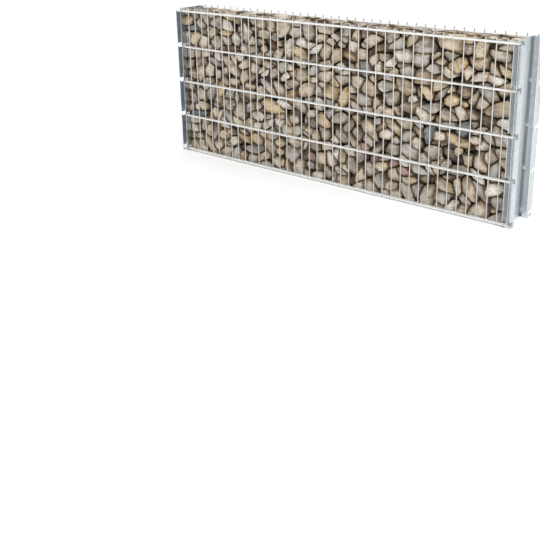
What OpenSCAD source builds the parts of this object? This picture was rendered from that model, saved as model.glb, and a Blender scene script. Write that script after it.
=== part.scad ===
// Stone-filled fence bay: two welded wire mats hang in slotted steel posts and
// hold back a fill of quarry stone. X runs along the wall, the front faces -Y.

/* [Mats] */
// Upright bars in one mat
mat_bars = 41; // [11:2:61]
// Spacing of the upright bars
bar_pitch = 50; // [30:1:80]
// Levels of cross rods in one mat
rod_levels = 5; // [3:1:7]
// Height from one level of cross rods to the next
level_pitch = 200; // [120:5:260]
// Thickness of an upright bar
bar_d = 6; // [4:0.5:8]
// Thickness of a cross rod
rod_d = 8; // [5:0.5:10]
// How far a cross rod runs on past the outermost bar
rod_overhang = 5; // [4:0.5:8]
// Height of the bar ends above the top cross rods
spike_h = 18; // [14:1:30]
// Distance between the planes of the two mats
mats_apart = 186; // [120:1:400]

/* [Posts] */
// Thickness of the post sheet
sheet_t = 3; // [2:0.5:4]
// Outer width of a post along the wall
post_w = 38; // [36:1:60]
// Depth of the open channels at the front and at the back
channel_d = 45; // [42:1:60]
// Post face beyond the outer face of the mat
face_reach = 7.5; // [6:0.5:14]
// Gap between the post plate and the rear channel
groove_w = 6.5; // [4:0.5:8]
// Outer radius of the bends
bend_r = 5; // [4:0.5:8]
// Height of the post above the top cross rods
post_rise = 12; // [6:1:13]
// Height of the lowest cross rods above the ground
ground_gap = 12; // [10:1:30]

/* [Hook slots] */
// Height of the slot mouth above the rod axis
mouth_top = 20; // [16:1:30]
// Height of the lip that keeps the rod in, above the rod axis
lip_top = 2; // [0:0.5:4]
// Play round a rod in its slot
slot_play = 0.5; // [0.3:0.1:1]
// Play between an outermost bar and the flange that it hooks behind
hook_play = 0.5; // [0.3:0.1:2]

/* [Spacers] */
// Height of a spacer block
spacer_h = 12; // [8:1:16]
// Length of a spacer block through the wall
spacer_l = 9; // [6:0.5:10]
// Clearance between a spacer block and the rods behind it
spacer_play = 2; // [1:0.5:4]

/* [Stone fill] */
// Top of the fill above the axis of the top cross rods
fill_rise = 6; // [-40:1:10]
// Clearance between the fill and the steel
fill_play = 0.3; // [0.2:0.1:1]

/* [Hidden] */
weld_sink = 0.5;      // how deep a front rod is pressed into the bars
wire_sides = 8;       // sides of a bar or rod
eps = 1;              // how far a cut runs past what it cuts

bar_span = (mat_bars - 1) * bar_pitch;
top_level = (rod_levels - 1) * level_pitch;

// Rod offsets from the mat plane: the outer rods are welded in, the inner ones lie on the bars
outer_rod_y = (bar_d + rod_d) / 2 - weld_sink;
inner_rod_y = (bar_d + rod_d) / 2;
mat_outer = mats_apart / 2 + outer_rod_y + rod_d / 2;
mat_inner = mats_apart / 2 - inner_rod_y - rod_d / 2;

// Posts: both stand the same way round, the plate on the -X side
post_y = mat_outer + face_reach;
base_y = post_y - channel_d;
post_h = ground_gap + top_level + post_rise;
rear_left = sheet_t + groove_w;
post_pitch = bar_span - bar_d - 2 * hook_play + post_w - sheet_t - rear_left - sheet_t;
wall_l = post_pitch + post_w;
far_x = -wall_l / 2;
near_x = far_x + post_pitch;

// The first bar hooks behind the far post's flange
first_bar_x = far_x + post_w - sheet_t - hook_play - bar_d / 2;

// Slot: from the free edge of a flange inwards, then down behind the lip
slot_end = post_y - mat_inner + slot_play;
lip_w = post_y - mat_outer - slot_play;
slot_floor = -rod_d / 2 - slot_play;

// A spacer block sits between the base of the rear channel and the rods
spacer_y = max(base_y, mat_inner - spacer_play - spacer_l);

POSTS = ["far", "near"];
LEVELS = [for (i = [1:rod_levels]) i];
SPACERS = [for (p = POSTS) for (i = LEVELS) str(p, "_post_spacer_", i)];

function level_z(i) = ground_gap + (i - 1) * level_pitch;
function post_x(p) = p == "far" ? far_x : near_x;

// --- Wire mats -------------------------------------------------------------

// Outline of a wire, measured across its flats
module wire_section(d)
    rotate(180 / wire_sides) circle(d / 2 / cos(180 / wire_sides), $fn = wire_sides);

// Cross rods on all levels, at one distance from the wall's middle plane
module cross_rods(y)
    for (i = LEVELS)
        translate([first_bar_x - rod_overhang, y, level_z(i)])
            rotate([0, 90, 0])
                linear_extrude(bar_span + 2 * rod_overhang) wire_section(rod_d);

module upright_bars(y)
    for (i = [0:mat_bars - 1])
        translate([first_bar_x + i * bar_pitch, y, ground_gap - rod_d / 2])
            linear_extrude(rod_d / 2 + top_level + spike_h) wire_section(bar_d);

// side is -1 for the front mat and 1 for the rear mat
module mat(side)
    color("gainsboro")
        union() {
            upright_bars(side * mats_apart / 2);
            cross_rods(side * (mats_apart / 2 + outer_rod_y));
        }

module mat_inner_rods(side)
    color("gainsboro") cross_rods(side * (mats_apart / 2 - inner_rod_y));

// --- Posts -----------------------------------------------------------------

// Side view of one hook slot at the front edge, in Y and Z, round a rod axis at height 0
module slot_outline() {
    translate([-post_y - eps, lip_top]) square([slot_end + eps, mouth_top - lip_top]);
    translate([-post_y + lip_w, slot_floor])
        square([slot_end - lip_w, mouth_top - slot_floor]);
}

// Hook slots through every flange of a post, in its front edge or its rear edge
module hook_slots(side)
    for (i = LEVELS)
        translate([-eps, 0, level_z(i)])
            rotate([90, 0, 90])
                linear_extrude(post_w + 2 * eps)
                    scale([-side, 1]) slot_outline();

// Plate of the post: its front edge is a flange of the front channel
module post_plate(p)
    color("lightsteelblue")
        translate([post_x(p), 0, 0])
            difference() {
                translate([0, -post_y, 0]) cube([sheet_t, 2 * post_y, post_h]);
                hook_slots(-1);
                hook_slots(1);
            }

// Plan of a bent corner: the quarter that is kept lies towards -X and -Y
module bend()
    intersection() {
        difference() {
            circle(bend_r, $fn = 48);
            circle(bend_r - sheet_t, $fn = 48);
        }
        square(bend_r);
    }

// Plan of a flange and half of its base: the base runs along -X from the bend, the flange along -Y
module flange_plan(base_l) {
    translate([-bend_r, -bend_r]) bend();
    translate([-base_l, -sheet_t]) square([base_l - bend_r, sheet_t]);
    translate([-sheet_t, -channel_d]) square([sheet_t, channel_d - bend_r]);
}

// Angle that closes the front channel: its base is welded to the plate
module post_front_angle(p)
    color("lightsteelblue")
        translate([post_x(p), 0, 0])
            difference() {
                linear_extrude(post_h)
                    translate([post_w, -base_y]) flange_plan(post_w - sheet_t);
                hook_slots(-1);
            }

// Rear channel: a U that opens to the back
module post_rear_channel(p)
    color("lightsteelblue")
        translate([post_x(p), 0, 0])
            difference() {
                linear_extrude(post_h)
                    translate([(post_w + rear_left) / 2, base_y])
                        mirror([0, 1]) {
                            half_w = (post_w - rear_left) / 2;
                            translate([half_w, 0]) flange_plan(half_w);
                            mirror([1, 0]) translate([half_w, 0]) flange_plan(half_w);
                        }
                hook_slots(1);
            }

// Block that joins the rear channel to the plate, level with a hook slot
module post_spacer(p, i)
    color("silver")
        translate([post_x(p) + sheet_t, spacer_y, level_z(i)])
            cube([groove_w, spacer_l, spacer_h]);

// --- Stone fill ------------------------------------------------------------

// Plan of the fill: between the mats, and in the far post between its two channels
module fill_plan() {
    body_x = far_x + post_w + fill_play;
    pocket_x = far_x + sheet_t + fill_play;
    end_x = near_x - fill_play;
    body_y = mat_inner - fill_play;
    pocket_y = base_y - fill_play;
    translate([body_x, -body_y]) square([end_x - body_x, 2 * body_y]);
    translate([pocket_x, -pocket_y]) square([end_x - pocket_x, 2 * pocket_y]);
}

module stone_fill()
    color("tan") linear_extrude(ground_gap + top_level + fill_rise) fill_plan();

// --- Nodes -----------------------------------------------------------------

stone_fill();
mat(-1);  // front_mat
mat_inner_rods(-1);  // front_mat_inner_rods
mat(1);  // rear_mat
mat_inner_rods(1);  // rear_mat_inner_rods
for (p = POSTS) {
    post_plate(p);
    post_front_angle(p);
    post_rear_channel(p);
    for (i = LEVELS)
        post_spacer(p, i);
}
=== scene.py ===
# %% [markdown]
# # A bay of stone-filled fence
# The real thing is a narrow gabion wall: two welded wire mats hang in the slots of
# two galvanised steel posts, and broken quarry stone is packed between the mats.
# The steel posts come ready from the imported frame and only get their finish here.
# The wire mats and the stones are modelled below, because the frame holds only
# plain stand-ins for them.

# %% Load the frame
import math

import bpy
import numpy as np
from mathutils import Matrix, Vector


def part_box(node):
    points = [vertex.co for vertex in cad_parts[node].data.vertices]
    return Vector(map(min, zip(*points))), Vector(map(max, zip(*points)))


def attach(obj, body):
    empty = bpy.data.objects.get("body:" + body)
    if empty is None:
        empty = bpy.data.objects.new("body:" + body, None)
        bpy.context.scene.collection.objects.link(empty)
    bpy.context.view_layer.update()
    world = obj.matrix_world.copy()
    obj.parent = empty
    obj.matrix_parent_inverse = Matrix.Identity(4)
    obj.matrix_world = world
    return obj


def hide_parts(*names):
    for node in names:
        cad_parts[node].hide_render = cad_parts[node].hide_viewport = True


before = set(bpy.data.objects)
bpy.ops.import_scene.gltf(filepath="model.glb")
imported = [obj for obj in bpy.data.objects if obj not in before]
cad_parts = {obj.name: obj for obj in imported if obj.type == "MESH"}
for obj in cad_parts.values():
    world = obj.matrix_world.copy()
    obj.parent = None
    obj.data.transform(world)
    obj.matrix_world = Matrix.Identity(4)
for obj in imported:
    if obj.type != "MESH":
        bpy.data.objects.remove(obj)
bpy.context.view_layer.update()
MM = 0.001

# %% [markdown]
# ## Small helpers
# Colours are written as sRGB hex values, as a paint card gives them, and one
# function turns them into the linear values that shaders work in. One function
# adds a shader node with its settings and links, and one function turns arrays
# of points and faces into a mesh object at the origin. All pieces are shaded
# smooth, and edges that bend by more than a set angle stay crisp: that keeps the
# rim of a cut wire and the edge of a broken stone, and rounds off the facets.


# %% Colour and node helpers
def linear(hex_colour):
    """Linear RGBA of an sRGB hex colour: each channel is put through the inverse of the sRGB curve."""
    srgb = np.array([int(hex_colour[i:i + 2], 16) for i in (1, 3, 5)]) / 255
    low = srgb / 12.92
    high = ((srgb + 0.055) / 1.055) ** 2.4
    return (*np.where(srgb <= 0.04045, low, high), 1.0)


def add(tree, kind, inputs=None, stops=(), **settings):
    """Adds one shader node with its settings and links. An input goes by its name, or by its number
    where two have one name, and its value is a number, a colour, or another node's output socket.
    stops are the (position, hex colour) pairs of a colour ramp, from left to right."""
    made = tree.nodes.new("ShaderNode" + kind)
    for name, value in settings.items():
        setattr(made, name, value)
    for name, value in (inputs or {}).items():
        if isinstance(value, bpy.types.NodeSocket):
            tree.links.new(value, made.inputs[name])
        else:
            made.inputs[name].default_value = value
    if stops:
        elements = made.color_ramp.elements
        while len(elements) < len(stops):
            elements.new(1.0)
        for element, (position, colour) in zip(elements, stops):
            element.position = position
            element.color = linear(colour)
    return made


def new_material(name):
    """An empty node material with a Principled shader: returns the material, its tree and the shader."""
    material = bpy.data.materials.new(name)
    material.use_nodes = True
    tree = material.node_tree
    tree.nodes.clear()
    shader = add(tree, "BsdfPrincipled")
    output = add(tree, "OutputMaterial")
    tree.links.new(shader.outputs["BSDF"], output.inputs["Surface"])
    return material, tree, shader


print("the hex grey #808080 is", round(linear("#808080")[0], 3), "for a shader")


# %% Mesh helper
CRISP_EDGE = math.radians(38)


def make_piece(name, points, face_groups, material, values=None):
    """A smooth mesh object from whole arrays: face_groups holds arrays with one row of corners for
    each face, and values holds one number for each point, by the name that a shader reads it by."""
    mesh = bpy.data.meshes.new(name)
    corners = np.concatenate([group.ravel() for group in face_groups])
    sizes = np.concatenate([np.full(len(group), group.shape[1]) for group in face_groups])
    mesh.vertices.add(len(points))
    mesh.vertices.foreach_set("co", points.astype(np.float32).ravel())
    mesh.loops.add(len(corners))
    mesh.loops.foreach_set("vertex_index", corners.astype(np.int32))
    mesh.polygons.add(len(sizes))
    mesh.polygons.foreach_set("loop_start", (np.cumsum(sizes) - sizes).astype(np.int32))
    mesh.polygons.foreach_set("use_smooth", np.ones(len(sizes), bool))
    mesh.update(calc_edges=True)
    for key, column in (values or {}).items():
        mesh.attributes.new(key, "FLOAT", "POINT").data.foreach_set("value", column.astype(np.float32))
    mesh.validate()
    mesh.set_sharp_from_angle(angle=CRISP_EDGE)
    mesh.materials.append(material)
    piece = bpy.data.objects.new(name, mesh)
    bpy.context.scene.collection.objects.link(piece)
    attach(piece, "root")
    print(name, len(points), "points,", int((sizes - 2).sum()), "triangles")
    return piece


# %% [markdown]
# ## Hot-dip galvanised sheet and wire
# The posts are folded from steel sheet and dipped in molten zinc. That leaves a
# pale bluish grey, rather glossy coat, with faint crystals, the spangle, and long
# streaks where the sheet was rolled and the zinc ran off. Zinc is a metal, so the
# shader is metallic with the default IOR. A Voronoi pattern makes the crystals and
# an upright stretched noise the streaks. Both shift colour and roughness a little.
# A picture of a real sheet could be laid over the posts instead, but it would
# repeat, and every fold would need its own layout. A pattern that is worked out at
# its real size in millimetres runs over all the pieces without either.
#
# The mats are dipped too. On the real mats the cross rods look whiter than the thin
# bars behind them, as they catch more light from above. One material serves both: a
# number stored on the points of the rods moves them to the pale end of the same ramp
# of greys, as a painted highlight.


# %% Zinc finish
COAT_MM = 12  # width of the blotches and streaks in the coat
GRAIN_MM = 6  # width of its fine unevenness
SPANGLE_TO_COAT = 0.7  # 0 shows only the spangle and 1 only the coat


def zinc(name, greys, roughness, spangle_mm, bump_mm, drawn=1.0):
    """Galvanised steel: spangle cells of one size and a streaky coat, in the given ramp of greys.
    drawn under 1 stretches the streaks upright, along the folds of a sheet. A number stored on
    the points of a wire is added to the pattern and moves it towards the pale end of the ramp: a
    painted highlight, for the light from above that the cross rods catch. Pieces without that number get
    0."""
    material, tree, shader = new_material(name)
    place = add(tree, "TexCoord").outputs["Object"]
    along = add(tree, "Mapping", {"Vector": place, "Scale": (1.0, 1.0, drawn)}).outputs["Vector"]
    cells = add(tree, "TexVoronoi", {"Vector": place, "Scale": 1 / (spangle_mm * MM)})
    coat_and_highlight = add(tree, "TexNoise", {"Vector": along, "Scale": 1 / (COAT_MM * MM), "Detail": 4.0})
    cell_grey = add(tree, "SeparateColor", {"Color": cells.outputs["Color"]}).outputs["Red"]
    patch = add(tree, "Mix", {"Factor": SPANGLE_TO_COAT, "A": cell_grey,
                              "B": coat_and_highlight.outputs["Fac"]}).outputs["Result"]
    # Painted highlight: a number stored on the rods lifts them towards the pale end of the ramp.
    painted_highlight = add(tree, "Attribute", attribute_name="coat_and_highlight").outputs["Fac"]
    pale = add(tree, "Math", {0: patch, 1: painted_highlight}, operation="ADD").outputs["Value"]
    grey = add(tree, "ValToRGB", {"Fac": pale}, stops=greys).outputs["Color"]
    tree.links.new(grey, shader.inputs["Base Color"])
    rough = add(tree, "MapRange", {"Value": patch, "To Min": roughness - 0.05, "To Max": roughness + 0.07})
    tree.links.new(rough.outputs["Result"], shader.inputs["Roughness"])
    shader.inputs["Metallic"].default_value = 1.0
    fine = add(tree, "TexNoise", {"Vector": along, "Scale": 1 / (GRAIN_MM * MM), "Detail": 3.0})
    bump = add(tree, "Bump", {"Height": fine.outputs["Fac"], "Distance": bump_mm * MM, "Strength": 0.35})
    tree.links.new(bump.outputs["Normal"], shader.inputs["Normal"])
    return material


sheet_zinc = zinc("hot_dip_galvanised_sheet", [(0.25, "#BDC3C6"), (0.75, "#D5D9DC")],
                  roughness=0.30, spangle_mm=14, bump_mm=0.05, drawn=0.06)
# The palest stop of the wire's ramp is reached mostly by the cross rods, through their painted highlight.
wire_zinc = zinc("hot_dip_galvanised_wire", [(0.25, "#BEC0BF"), (0.75, "#D6D8D7"), (1.0, "#F4F5F5")],
                 roughness=0.34, spangle_mm=7, bump_mm=0.10)
spacer_zinc = zinc("galvanised_block", [(0.25, "#8E9496"), (0.75, "#A9AEB0")],
                   roughness=0.5, spangle_mm=12, bump_mm=0.2)

for name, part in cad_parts.items():
    finish = spacer_zinc if "spacer" in name else sheet_zinc
    part.data.materials.clear()
    part.data.materials.append(finish)
print("zinc finish on", len(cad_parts), "nodes of the frame")

# %% [markdown]
# ## The wire mats
# A double-rod mat has upright bars every 50 mm, and on each level one cross rod
# in front of them and one behind, spot-welded under pressure. The frame holds the
# mats with eight-sided wire. Here the wire is round drawn wire with broken edges at
# its ends, and each weld has its small squeezed-out bead. All wires of one kind are
# one array operation: a ring of points is carried to every station of every wire.
# A curve with a round bevel would give the same wires, one object at a time. A
# picture of wires on a flat sheet wouldn't do, because one looks between them. The
# pitches and wire sizes are those of the mat, and its place is read from the frame.

# %% Measures of the mats
mat_low, mat_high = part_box("front_mat")
rods_low, rods_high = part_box("front_mat_inner_rods")
BAR_PITCH = 50 * MM
LEVEL_PITCH = 200 * MM
BAR_D = 6 * MM
ROD_D = 8 * MM
ROD_OVERHANG = 5 * MM
# The rods are painted paler than the bars: a painted highlight for the light from above that they catch.
ROD_HIGHLIGHT = 0.5  # how much further up the ramp of greys the whiter rods lie
BEAD = np.array([4.2, 1.5, 3.4]) * MM  # half length, half depth and half height of a weld bead
bar_x = np.arange(mat_low.x + ROD_OVERHANG, mat_high.x, BAR_PITCH)
level_z = np.arange(rods_low.z + ROD_D / 2, rods_high.z, LEVEL_PITCH)
outer_rod_y = -(mat_low.y + ROD_D / 2)
inner_rod_y = -(rods_low.y + rods_high.y) / 2
bar_y = -(mat_high.y - BAR_D / 2)
print(len(bar_x), "bars,", len(level_z), "levels, mat planes at y =", round(bar_y, 4))


# %% Wires
def wires(starts, ends, across, up, diameter, sides=12, chamfer=0.6 * MM):
    """Straight round wires, all at once.

    A ring is radius * (cos a * across + sin a * up). Each wire has four rings: at its start and
    end with the radius less the chamfer, and one chamfer further in with the full radius. The
    ends are closed by a face over the first and the last ring.
    """
    angle = np.arange(sides) * 2 * math.pi / sides
    ring = np.outer(np.cos(angle), across) + np.outer(np.sin(angle), up)
    along = (ends - starts) / np.linalg.norm(ends - starts, axis=1, keepdims=True)
    stations = np.stack([starts, starts + along * chamfer, ends - along * chamfer, ends], axis=1)
    radii = diameter / 2 - np.array([chamfer, 0, 0, chamfer])
    points = stations[:, :, None, :] + radii[None, :, None, None] * ring[None, None, :, :]
    step = np.arange(sides)
    turn = (step + 1) % sides
    side = np.concatenate([np.stack([step + k * sides, turn + k * sides, turn + (k + 1) * sides,
                                     step + (k + 1) * sides], axis=1) for k in range(3)])
    caps = np.stack([step[::-1], step + 3 * sides])
    first = (np.arange(len(starts)) * 4 * sides)[:, None, None]
    return points.reshape(-1, 3), (side + first).reshape(-1, 4), (caps + first).reshape(-1, sides)


# %% Weld beads
def ball_grid(steps):
    """Directions on a sphere, and its four-sided faces. Each face of a cube is a grid of steps by
    steps squares, pushed out to the sphere after its coordinates go through tan(x * 45 deg), which
    evens out the squares. Points that two faces of the cube share are merged, so the ball is closed."""
    line = np.tan(np.linspace(-1, 1, steps + 1) * math.pi / 4)
    u, v = (grid.ravel() for grid in np.meshgrid(line, line, indexing="ij"))
    one = np.ones_like(u)
    sides = [(one, u, v), (-one, v, u), (v, one, u), (u, -one, v), (u, v, one), (v, u, -one)]
    points = np.concatenate([np.stack(side, axis=1) for side in sides])
    row = np.arange(steps)
    corner = (row[:, None] * (steps + 1) + row[None, :]).ravel()
    quad = np.stack([corner, corner + steps + 1, corner + steps + 2, corner + 1], axis=1)
    quads = np.concatenate([quad + k * (steps + 1) ** 2 for k in range(6)])
    _, first, merged = np.unique(np.round(points, 6), axis=0, return_index=True, return_inverse=True)
    points = points[first]
    return points / np.linalg.norm(points, axis=1, keepdims=True), merged.ravel()[quads]


def beads(centres, half_size):
    """Small squashed balls at the given centres: half_size scales a coarse ball grid on each axis."""
    ball, quads = ball_grid(2)
    points = centres[:, None, :] + ball[None, :, :] * half_size
    first = (np.arange(len(centres)) * len(ball))[:, None, None]
    return points.reshape(-1, 3), (quads[None] + first).reshape(-1, 4)


# %% Build both mats
X, Y, Z = np.eye(3)


def grid_points(xs, y, zs):
    """Every pairing of the given x and z values, at one y."""
    x, z = np.meshgrid(xs, zs, indexing="ij")
    return np.stack([x.ravel(), np.full(x.size, y), z.ravel()], axis=1)


def mat(name, side, nodes):
    """One mat: upright bars, outer and inner cross rods, and a bead on both sides of each crossing.
    side is -1 for the front mat and 1 for the rear one, and nodes are the frame's stand-ins."""
    ends = [mat_low.x], [mat_high.x]
    parts = [wires(grid_points(bar_x, side * bar_y, [mat_low.z]),
                   grid_points(bar_x, side * bar_y, [mat_high.z]), X, Y, BAR_D)]
    for rod_y in (outer_rod_y, inner_rod_y):
        parts.append(wires(grid_points(ends[0], side * rod_y, level_z),
                           grid_points(ends[1], side * rod_y, level_z), Y, Z, ROD_D))
        touch_y = side * (bar_y + math.copysign(BAR_D / 2, rod_y - bar_y))
        parts.append(beads(grid_points(bar_x, touch_y, level_z), BEAD))
    points, groups, count = [], [], 0
    for part_points, *part_groups in parts:
        points.append(part_points)
        groups.extend(group + count for group in part_groups)
        count += len(part_points)
    # Painted highlight: every point after the bars, on the rods and their weld beads, is lifted up the
    # ramp of greys.
    coat_and_highlight = np.where(np.arange(count) < len(points[0]), 0.0, ROD_HIGHLIGHT)
    piece = make_piece(name, np.concatenate(points), groups, wire_zinc, {"coat_and_highlight": coat_and_highlight})
    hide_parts(*nodes)
    return piece


mat("front_wire_mat", -1, ["front_mat", "front_mat_inner_rods"])
mat("rear_wire_mat", 1, ["rear_mat", "rear_mat_inner_rods"])

# %% [markdown]
# ## Packing the stones
# The fill is broken quarry stone, mostly 60 to 150 mm long, tipped and packed by
# hand so that the stones fit closely, mostly lying flat, with dark gaps between.
# Dropping rigid bodies would leave big holes and take minutes. Here every stone
# first gets only a size and a direction: a long, a middle and a short half size
# along its own turned axes. The centres are scattered, and then each centre moves a
# few times to the middle of the space that is nearest to it, measured in its own
# half sizes. One seed is set once, so every run gives the same stones.

# %% Space for the fill
SEED = 20
PLAY = 0.6 * MM  # between the stones and the flanges of the far post
rng = np.random.default_rng(SEED)
fill_low, fill_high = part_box("stone_fill")
flange_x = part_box("far_post_front_angle")[1].x
pocket_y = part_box("far_post_rear_channel")[0].y
main_box = np.array([[flange_x + PLAY, fill_low.y, fill_low.z],
                     [fill_high.x, fill_high.y, fill_high.z]])
pocket_box = np.array([[fill_low.x, -pocket_y + PLAY, fill_low.z],
                       [flange_x - PLAY, pocket_y - PLAY, fill_high.z]])
print("space between the mats", np.round(np.ptp(main_box, axis=0), 3),
      "and in the far post", np.round(np.ptp(pocket_box, axis=0), 3))


# %% Sizes and directions
def unit(vectors):
    """The vectors scaled to length 1."""
    return vectors / np.linalg.norm(vectors, axis=-1, keepdims=True)


def proportions(count, small, large, stretch):
    """Axes (stone, axis, 3) and half sizes (stone, axis) of the stones, the largest stone first.

    Half sizes run from small to large with many more small stones, by a beta distribution that leans to
    its low end. The short axis leans towards the vertical and the long one towards the wall's
    length. The long half size is exp(s) times the middle one and the short one exp(-t) times it,
    with a random s up to stretch and a random t up to half of that. All three are then scaled so
    that their product is the cube of the stone's size."""
    size = np.sort(small + (large - small) * rng.beta(1.2, 2.8, count))[::-1]
    short = unit(rng.normal(size=(count, 3)) + 1.5 * Z)
    long = unit(np.cross(short, rng.normal(size=(count, 3)) + 1.2 * Y))
    axes = np.stack([long, np.cross(short, long), short], axis=1)
    longer = stretch * rng.beta(1.3, 1.8, count)
    flatter = rng.uniform(0.0, stretch / 2, count)
    ratio = np.exp(np.stack([longer, 0 * longer, -flatter], axis=1))
    return axes, size[:, None] * ratio / np.cbrt(ratio.prod(axis=1))[:, None]


# %% Places
def spread(box, half, tries=32, wall_start=0.4):
    """Best-candidate scatter: each stone takes the one of a few random spots that is furthest from
    all others, in terms of the sum of the two sizes. A spot on a wall counts as if another stone
    were wall_start away."""
    low, high = box
    size = half.mean(axis=1)
    centres = np.empty((len(half), 3))
    centres[0] = (low + high) / 2
    for i in range(1, len(half)):
        spots = rng.uniform(low, high, (tries, 3))
        apart = np.linalg.norm(spots[:, None] - centres[None, :i], axis=2)
        room = (apart / (size[i] + size[:i])).min(axis=1)
        wall = np.minimum(spots - low, high - spots).min(axis=1) / size[i]
        centres[i] = spots[np.argmax(np.minimum(room, wall_start + wall))]
    return centres


def settle(box, centres, shape, rounds=9, samples=16000):
    """Moves each centre to the mean of the random points that are nearest to it. The distance is
    the quadratic form (p - c) M (p - c), written as one product of the terms of p (xx, yy, zz, xy,
    xz, yz, x, y, z, 1) with ten factors for each stone."""
    rows, columns = [0, 1, 2, 0, 0, 1], [0, 1, 2, 1, 2, 2]
    squares = shape[:, rows, columns] * [1, 1, 1, 2, 2, 2]
    for _ in range(rounds):
        points = rng.uniform(*box, (samples, 3))
        products = points[:, rows] * points[:, columns]
        terms = np.concatenate([products, points, np.ones((samples, 1))], axis=1)
        turned = np.einsum("nij,nj->ni", shape, centres)
        factors = np.concatenate([squares, -2 * turned, (centres * turned).sum(1)[:, None]], axis=1)
        owner = np.argmin(terms @ factors.T, axis=1)
        held = np.bincount(owner, minlength=len(centres))
        total = np.stack([np.bincount(owner, points[:, k], len(centres)) for k in range(3)], axis=1)
        centres = np.where(held[:, None] > 2, total / np.maximum(held, 1)[:, None], centres)
    return centres


# %% [markdown]
# ## The shape of one stone
# Two neighbours are parted by one plane, which both of them keep behind. It lies
# between their centres where their half sizes meet, and it leans with the stones.
# A stone is then a closed surface round its centre, given as a distance for each
# direction u. With planes at distance b and outward normal n, the distance is
# (sum of (max(0, u.n) / b) ** p) ** (-1 / p). With a very large p that is the
# polyhedron inside all the planes. With p from 16 to 36 its edges are a little worn,
# as on broken stone that has been tipped and handled, and some stones are more worn
# than others. The surface never crosses a plane, so no two stones cut each other.
# Some extra planes knock off corners, and slow waves make the faces uneven.
#
# A stone has few faces, and an even grid of points would cut its edges off at
# random. So the points slide a little way uphill first, towards larger distances,
# until they gather along the edges and corners. A Boolean cut would give the same
# edges but takes far longer, and a remesh would need many times the faces.


# %% Planes round each stone
NOT_ITSELF = 99  # a distance, in half sizes, that keeps a stone out of its own neighbours


def neighbour_planes(centres, shape, most=30):
    """Normals and distances of the planes towards the nearest stones.

    With d from one centre to the other, q1 and q2 are the lengths of d in the half sizes of the
    first and the second stone, q^2 = d M d. The plane crosses d at the share q2 / (q1 + q2), and
    its normal is M1 d / q1^2 + M2 d / q2^2."""
    count = len(centres)
    offset = centres[None] - centres[:, None]
    away = np.sqrt(np.einsum("ijk,ikl,ijl->ij", offset, shape, offset, optimize=True))
    away = away + NOT_ITSELF * np.eye(count)
    contact = 1 / (1 / away + 1 / away.T)
    near = np.argsort(contact, axis=1)[:, :min(most, count - 1)]
    rows = np.arange(count)[:, None]
    d = offset[rows, near]
    own, other = away[rows, near][..., None], away.T[rows, near][..., None]
    normals = unit(np.einsum("ikl,ijl->ijk", shape, d) / own ** 2
                   + np.einsum("ijkl,ijl->ijk", shape[near], d) / other ** 2)
    reach = (other / (own + other))[..., 0] * (normals * d).sum(axis=2)
    return normals, reach


# %% Planes of the walls, and knocked-off corners
WALLS = 12  # six straight wall planes and six leaning ones


def wall_planes(box, centres, half):
    """The six walls of the box, straight and exact, and six more just inside them. Those lean a
    little and are drawn in by a random share of the stone's size, so that the stones don't end in
    one flat sheet. At the top they are drawn in less, because a fill is levelled there."""
    count = len(centres)
    straight = np.broadcast_to(np.concatenate([-np.eye(3), np.eye(3)]), (count, 6, 3))
    reach = np.concatenate([centres - box[0], box[1] - centres], axis=1)
    lean = 0.11
    leaning = unit(straight + rng.normal(0, lean, (count, 6, 3)))
    drawn_in = np.array([0.15, 0.15, 0.15, 0.15, 0.15, 0.06])
    inside = reach - rng.uniform(0, 1, (count, 6)) * drawn_in * half.mean(axis=1)[:, None]
    return np.concatenate([straight, leaning], axis=1), np.concatenate([reach, inside], axis=1)


def chip_planes(normals, reach, shape, chips=6, closest=9):
    """Planes that knock off corners: random directions, each at the stone's own half size in that
    direction, scaled to the room that its closest neighbours leave it, and up to half as far out
    again."""
    count = len(shape)
    chipped = unit(rng.normal(size=(count, chips, 3)))
    inner = np.sqrt(np.einsum("ijk,ikl,ijl->ij", normals, shape, normals, optimize=True))
    room = np.median(np.sort(reach * inner, axis=1)[:, :closest], axis=1)[:, None]
    along = np.sqrt(np.einsum("ijk,ikl,ijl->ij", chipped, shape, chipped, optimize=True))
    return chipped, room / along * rng.uniform(1.0, 1.5, along.shape)


def waves(directions, ridges=5, waviness=2.8):
    """A slow uneven field from 0 to 1 on each stone: a mean of cosines along random directions,
    whose number of waves round the stone grows with waviness."""
    count = len(directions)
    ways = rng.normal(0, waviness, (count, ridges, 3))
    phase = rng.uniform(0, 2 * math.pi, (count, 1, ridges))
    return np.clip(0.5 + np.cos(directions @ ways.transpose(0, 2, 1) + phase).mean(axis=2), 0, 1)


# %% Stones of one box
def pack_stones(box, count, small, large, stretch):
    """Centres, axes and half sizes of every stone in a box, the normals and distances of its
    planes, and how many of those planes, the first ones, belong to neighbours."""
    axes, half = proportions(count, small, large, stretch)
    shape = np.einsum("nji,nj,njk->nik", axes, half ** -2, axes)
    centres = settle(box, spread(box, half), shape)
    near_normals, near_reach = neighbour_planes(centres, shape)
    wall_normals, wall_reach = wall_planes(box, centres, half)
    chip_normals, chip_reach = chip_planes(near_normals, near_reach, shape)
    normals = np.concatenate([near_normals, wall_normals, chip_normals], axis=1)
    reach = np.concatenate([near_reach, wall_reach, chip_reach], axis=1)
    return centres, axes, half, normals, reach, near_reach.shape[1]


# %% Surfaces of the stones
LEAST_REACH = 3 * MM  # no plane comes closer to a stone's centre
SLIDES = 3  # how often the grid points slide
SLIDE = 0.14  # length of one slide, as a share of the distance between grid points
FULL_SLOPE = 0.25  # a point on a slope under this slides less
JOINT_START, JOINT_DEPTH = 0.78, 0.2  # where the painted joint shade and brown dust start, and over which share they grow


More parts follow.
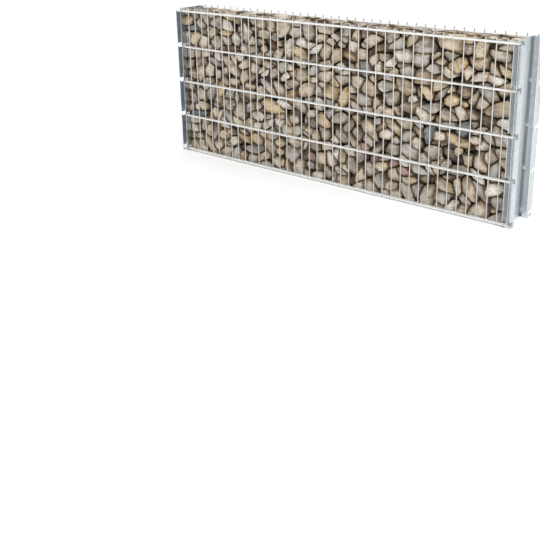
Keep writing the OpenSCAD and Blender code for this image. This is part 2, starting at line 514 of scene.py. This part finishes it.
def stone_surfaces(packed, chosen, steps, gap, sharpness, worn):
    """Surface points (stone, point, 3), the faces of one stone, and for each point how near it is
    to a neighbour: 0 on an open face and 1 in a joint.

    gap draws the planes of the neighbours in by about that much, sharpness is the least and the
    largest p, and worn is how deep the waves go, as a share of the distance. Stones that aren't
    worn have no knocked-off corners either."""
    centres, axes, half, normals, reach, neighbours = packed
    ball, quads = ball_grid(steps)
    stretch = half[chosen] / half[chosen].mean(axis=1, keepdims=True)
    directions = unit(np.einsum("pa,na,nai->npi", ball, stretch, axes[chosen]))
    reach = reach[chosen]
    reach[:, :neighbours] -= gap * rng.uniform(0.5, 1.4, (len(chosen), neighbours))
    planes = normals[chosen] / np.maximum(reach, LEAST_REACH)[:, :, None]
    if not worn:
        planes = planes[:, :neighbours + WALLS]
    power = rng.uniform(*sharpness, (len(chosen), 1, 1))

    def measure(directions):
        """How far each direction faces each plane, over the plane's distance, and the distance
        to the surface, which is (sum of facing ** p) ** (-1 / p)."""
        facing = np.maximum(directions @ planes.transpose(0, 2, 1), 0)
        return facing, (facing ** power).sum(axis=2) ** (-1 / power[..., 0])

    slide = SLIDE * math.pi / 2 / steps
    for _ in range(SLIDES):
        facing, radius = measure(directions)
        share = (facing * radius[..., None]) ** (power - 1)
        uphill = -radius[..., None] * (share @ planes)
        uphill -= (uphill * directions).sum(axis=2, keepdims=True) * directions
        slope = np.linalg.norm(uphill, axis=2, keepdims=True)
        directions = unit(directions + slide * uphill / np.maximum(slope, FULL_SLOPE))
    facing, radius = measure(directions)
    radius *= 1 - worn * waves(directions)
    # How near each point comes to a neighbour: the shader paints shade and brown dust there, darker the
    # nearer it is.
    touch = radius * facing[..., :neighbours].max(axis=2)
    joint_shade_and_dust = np.clip((touch - JOINT_START) / JOINT_DEPTH, 0, 1)
    return centres[chosen][:, None] + radius[..., None] * directions, quads, joint_shade_and_dust


# %% [markdown]
# ## Quarry stone
# The load is mixed: mostly grey-beige and pale grey limestone, some ochre pieces,
# and a few slate-blue or reddish ones. Each stone carries two random numbers as
# attributes: one picks its kind of rock from a stepped ramp, the other shifts its
# grain so that no pattern runs on from stone to stone. A third attribute says how
# near a point is to the next stone, and there the rock is painted darker and browner:
# painted shade, as the joints lie in shadow, and brown quarry dust that stays there.
# Pictures of rock would repeat over so many stones, so all patterns are worked out
# at their real sizes. Each one darkens the rock where its noise is low. Rock isn't
# a metal, it is dull, and broken faces are rough at about 1 mm. That is too fine to
# show at this distance, so the bump is drawn as coarse as 14 mm.

# %% Colours and patterns of the stone
ROCKS = [(0.00, "#C3B8A7"), (0.12, "#CFC6B8"), (0.23, "#B5ACA0"), (0.34, "#C9BCA5"), (0.42, "#B3AFA8"),
         (0.52, "#D6D1C8"), (0.61, "#BDB19E"), (0.70, "#C8B594"), (0.76, "#A9A6A0"), (0.82, "#CCC6BC"),
         (0.89, "#B8AB95"), (0.97, "#838A8E"), (0.985, "#A68C8A")]
STAIN_MM = 60
BEDDING_MM = 40
PIT_MM = 14
STAINED = [(0.38, "#7C6F62"), (0.54, "#FFFFFF")]
STREAKED = [(0.36, "#A99D8E"), (0.55, "#FFFFFF")]
PITTED = [(0.33, "#6E6254"), (0.43, "#FFFFFF")]
# Painted shade in the joints, with brown dust: white on an open face and dark brown deep in a joint.
SHADE_AND_DUST = [(0.0, "#FFFFFF"), (0.5, "#CDBFAA"), (1.0, "#66523D")]
BUMP_HEIGHT = 5 * MM


# %% Stone finish
def quarry_stone():
    """Rough broken limestone: kinds by stepped ramp, stains, bedding streaks, pits, and painted shade with
    brown dust in the joints.
    Each pattern is a ramp of colours over a noise, and multiplies the colour by its own amount."""
    material, tree, shader = new_material("broken_quarry_limestone")
    place = add(tree, "TexCoord").outputs["Object"]
    kind = add(tree, "Attribute", attribute_name="kind").outputs["Fac"]
    shift = add(tree, "Attribute", attribute_name="shift").outputs["Fac"]
    joint_shade_and_dust = add(tree, "Attribute", attribute_name="joint_shade_and_dust").outputs["Fac"]

    rocks = add(tree, "ValToRGB", {"Fac": kind}, stops=ROCKS)
    rocks.color_ramp.interpolation = "CONSTANT"
    bedding = add(tree, "Mapping", {"Vector": place, "Rotation": (0.5, 0.35, 0.2),
                                    "Scale": (1.0, 1.0, 5.0)}).outputs["Vector"]
    looks = [(0.65, place, STAIN_MM, 5.0, 0.6, STAINED),
             (0.35, bedding, BEDDING_MM, 4.0, 0.5, STREAKED),
             (0.7, place, PIT_MM, 4.0, 0.7, PITTED)]
    layers = []
    for amount, vector, size_mm, detail, roughness, stops in looks:
        noise = add(tree, "TexNoise", {"Vector": vector, "W": shift, "Scale": 1 / (size_mm * MM),
                                       "Detail": detail, "Roughness": roughness}, noise_dimensions="4D")
        layers.append((amount, noise.outputs["Fac"], stops))
    # Painted shade: the rock turns darker and browner towards its neighbours, for the shadow in the joints
    # and the dust there.
    layers.append((0.9, joint_shade_and_dust, SHADE_AND_DUST))
    colour = rocks.outputs["Color"]
    for amount, pattern, stops in layers:
        shade = add(tree, "ValToRGB", {"Fac": pattern}, stops=stops).outputs["Color"]
        colour = add(tree, "MixRGB", {"Fac": amount, "Color1": colour, "Color2": shade},
                     blend_type="MULTIPLY").outputs["Color"]
    tree.links.new(colour, shader.inputs["Base Color"])
    shader.inputs["Roughness"].default_value = 0.86
    shader.inputs["Specular IOR Level"].default_value = 0.35
    uneven = add(tree, "TexNoise", {"Vector": place, "W": shift, "Scale": 1 / (PIT_MM * MM),
                                    "Detail": 7.0, "Roughness": 0.62}, noise_dimensions="4D")
    bump = add(tree, "Bump", {"Height": uneven.outputs["Fac"], "Distance": BUMP_HEIGHT, "Strength": 0.6})
    tree.links.new(bump.outputs["Normal"], shader.inputs["Normal"])
    return material


stone_finish = quarry_stone()
print(stone_finish.name, "has", len(stone_finish.node_tree.nodes), "nodes")


# %% [markdown]
# ## Filling the wall
# One packing fills the long space between the mats, and a second one, of smaller
# stones, the pocket inside the far post. There are about 1,200 stones, so each has
# only some dozens of faces. Those in the front, back and top layers show, and they
# have gaps round them, worn edges and a finer grid. Those in the core and in the
# post only stop the view through the wall, so they are left sharp and tight, with
# a coarser grid. The stones are joined into one mesh for each layer.

# %% Joined stones
FURTHEST_SHIFT = 900


def stone_piece(name, packed, chosen, **look):
    """One joined mesh of the chosen stones. Each stone gets its own random kind and shift."""
    points, quads, joint_shade_and_dust = stone_surfaces(packed, chosen, **look)
    each = points.shape[1]
    first = (np.arange(len(chosen)) * each)[:, None, None]
    values = {"kind": np.repeat(rng.uniform(size=len(chosen)), each),
              "shift": np.repeat(rng.uniform(0, FURTHEST_SHIFT, len(chosen)), each),
              "joint_shade_and_dust": joint_shade_and_dust.ravel()}
    piece = make_piece(name, points.reshape(-1, 3), [(quads[None] + first).reshape(-1, 4)],
                       stone_finish, values)
    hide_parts("stone_fill")
    return piece


# %% Pack both spaces
SEEN = {"steps": 4, "gap": 1.3 * MM, "sharpness": (16, 36), "worn": 0.05}
HIDDEN = {"steps": 3, "gap": 0.1 * MM, "sharpness": (60, 70), "worn": 0.0}
MAIN_STONES, POCKET_STONES = 1150, 60
main_pack = pack_stones(main_box, MAIN_STONES, small=15 * MM, large=56 * MM, stretch=1.15)
pocket_pack = pack_stones(pocket_box, POCKET_STONES, small=13 * MM, large=26 * MM, stretch=0.4)
print("packed", len(main_pack[0]), "stones between the mats and", len(pocket_pack[0]), "in the far post")

# %% Layers of the fill
FRONT_SHARE, BACK_SHARE = 0.33, 0.67
TOP_LAYER = 50 * MM
centres = main_pack[0]
depth = (centres[:, 1] - main_box[0, 1]) / np.ptp(main_box[:, 1])
on_top = centres[:, 2] > main_box[1, 2] - TOP_LAYER
in_front = ~on_top & (depth < FRONT_SHARE)
at_back = ~on_top & (depth > BACK_SHARE)
in_core = ~(on_top | in_front | at_back)
for name, layer, look in (("stones_front", in_front, SEEN), ("stones_core", in_core, HIDDEN),
                          ("stones_back", at_back, SEEN), ("stones_top", on_top, SEEN)):
    stone_piece(name, main_pack, np.flatnonzero(layer), **look)
stone_piece("stones_in_far_post", pocket_pack, np.arange(POCKET_STONES), **HIDDEN)

# %% [markdown]
# ## Floor, light and camera
# A plain white floor and a white surround give the even light of a product picture,
# and one large soft light from the upper right gives the steel its lighter and
# darker faces. A ring of lamps would do it too, with more shadows to keep apart.
# The camera stands in front of the wall beyond its right end, above its top. It
# looks down slightly, and a small vertical shift keeps the wall in the upper part
# of the picture.

# %% Floor and surround
FLOOR_HALF = 40.0
SURROUND_STRENGTH = 1.02
floor_mesh = bpy.data.meshes.new("floor")
floor_mesh.from_pydata([(-FLOOR_HALF, -FLOOR_HALF, 0), (FLOOR_HALF, -FLOOR_HALF, 0),
                        (FLOOR_HALF, FLOOR_HALF, 0), (-FLOOR_HALF, FLOOR_HALF, 0)], [], [(0, 1, 2, 3)])
floor = bpy.data.objects.new("floor", floor_mesh)
bpy.context.scene.collection.objects.link(floor)
floor_paint, _, floor_shader = new_material("white_studio_floor")
floor_shader.inputs["Base Color"].default_value = linear("#FAFAFA")
floor_shader.inputs["Roughness"].default_value = 0.9
floor_mesh.materials.append(floor_paint)

world = bpy.data.worlds.new("studio")
world.use_nodes = True
world.node_tree.nodes["Background"].inputs["Color"].default_value = linear("#FFFFFF")
world.node_tree.nodes["Background"].inputs["Strength"].default_value = SURROUND_STRENGTH
bpy.context.scene.world = world
print("floor", 2 * FLOOR_HALF, "m wide, surround strength", SURROUND_STRENGTH)


# %% Light
def soft_light(name, place, target, size, power):
    """A square area light that looks from one point at another."""
    data = bpy.data.lights.new(name, "AREA")
    data.size = size
    data.energy = power
    lamp = bpy.data.objects.new(name, data)
    lamp.location = place
    lamp.rotation_euler = (Vector(target) - Vector(place)).to_track_quat("-Z", "Y").to_euler()
    bpy.context.scene.collection.objects.link(lamp)
    return lamp


soft_light("key_light", place=(4.5, -4.0, 4.5), target=(0, 0, 0.4), size=3.0, power=300)
bpy.context.scene.view_settings.view_transform = "Standard"

# %% Camera
FRAME_SIDE = 540
FOCAL_LENGTH = 834  # in the same units as the frame's side
LOOK_DOWN, ROLL, TURN = 17.77, 1.2, 40.64  # degrees
camera_data = bpy.data.cameras.new("camera")
camera_data.sensor_width = 36
camera_data.lens = FOCAL_LENGTH / FRAME_SIDE * camera_data.sensor_width
camera_data.shift_y = -0.194
camera = bpy.data.objects.new("camera", camera_data)
camera.location = (2.460, -3.343, 1.405)
camera.rotation_euler = (math.radians(90 - LOOK_DOWN), math.radians(ROLL), math.radians(TURN))
bpy.context.scene.collection.objects.link(camera)
bpy.context.scene.camera = camera
print("camera with a", round(camera_data.lens, 1), "mm lens, looking down by", LOOK_DOWN, "degrees")
